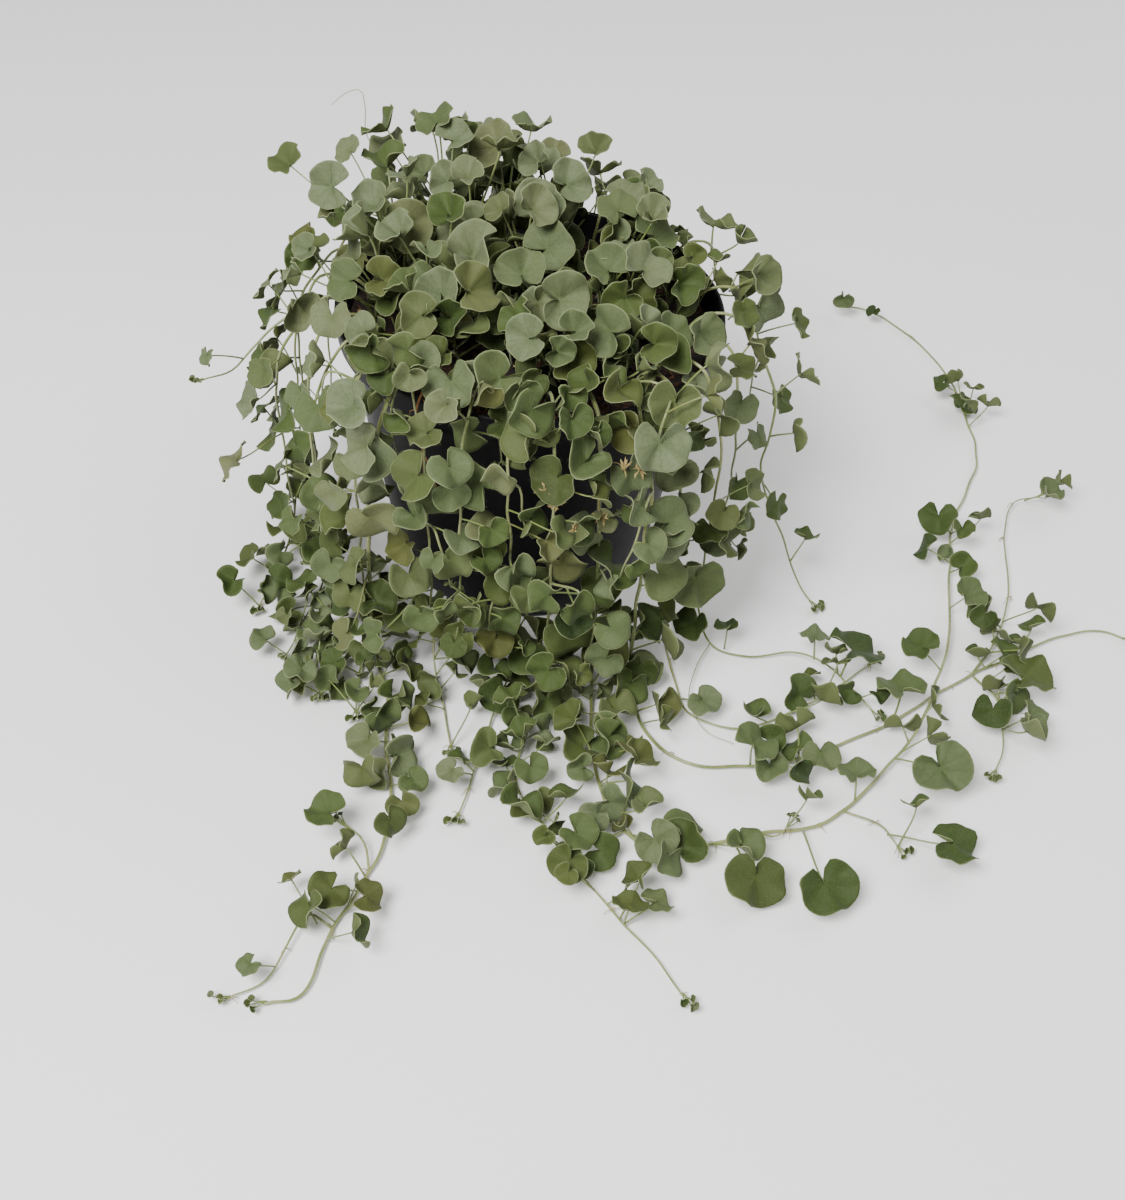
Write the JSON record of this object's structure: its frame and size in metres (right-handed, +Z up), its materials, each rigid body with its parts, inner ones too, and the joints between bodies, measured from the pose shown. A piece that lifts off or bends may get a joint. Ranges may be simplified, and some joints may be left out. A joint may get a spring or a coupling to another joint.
{
  "type": "potted trailing plant",
  "caption": "Round tapered nursery pot of silver dichondra: a mound of kidney-shaped leaves and trailing stems that spill over the rim and run along the surface.",
  "frame": {"origin": "centre of the pot's underside, on the surface it stands on", "axes": "+Z up; -Y is the side seen in the picture, +X to its right"},
  "size_m": [0.3772, 0.4387, 0.1725],
  "materials": {
    "pot": "satin",
    "soil": "matte",
    "foliage": "matte",
    "dry_root": "matte"
  },
  "bodies": {
    "root": {"pot": "pot", "soil": "soil", "dry_root": "dry_root", "crown_tuft_01": "foliage", "crown_tuft_02": "foliage", "crown_tuft_03": "foliage", "crown_tuft_04": "foliage", "crown_tuft_05": "foliage", "crown_tuft_06": "foliage", "crown_tuft_07": "foliage", "crown_tuft_08": "foliage", "crown_tuft_09": "foliage", "crown_tuft_10": "foliage", "crown_tuft_11": "foliage", "crown_tuft_12": "foliage", "crown_tuft_13": "foliage", "crown_tuft_14": "foliage", "crown_tuft_15": "foliage", "crown_tuft_16": "foliage", "trailing_stem_01": "foliage", "trailing_stem_02": "foliage", "trailing_stem_03": "foliage", "trailing_stem_04": "foliage", "trailing_stem_05": "foliage", "trailing_stem_06": "foliage", "trailing_stem_07": "foliage", "trailing_stem_08": "foliage", "trailing_stem_09": "foliage", "trailing_stem_10": "foliage", "trailing_stem_11": "foliage", "trailing_stem_12": "foliage", "trailing_stem_13": "foliage", "trailing_stem_14": "foliage", "trailing_stem_15": "foliage", "trailing_stem_16": "foliage", "trailing_stem_17": "foliage", "trailing_stem_18": "foliage", "trailing_stem_19": "foliage", "trailing_stem_20": "foliage", "trailing_stem_21": "foliage", "trailing_stem_22": "foliage", "trailing_stem_23": "foliage"}
  },
  "joints": []
}
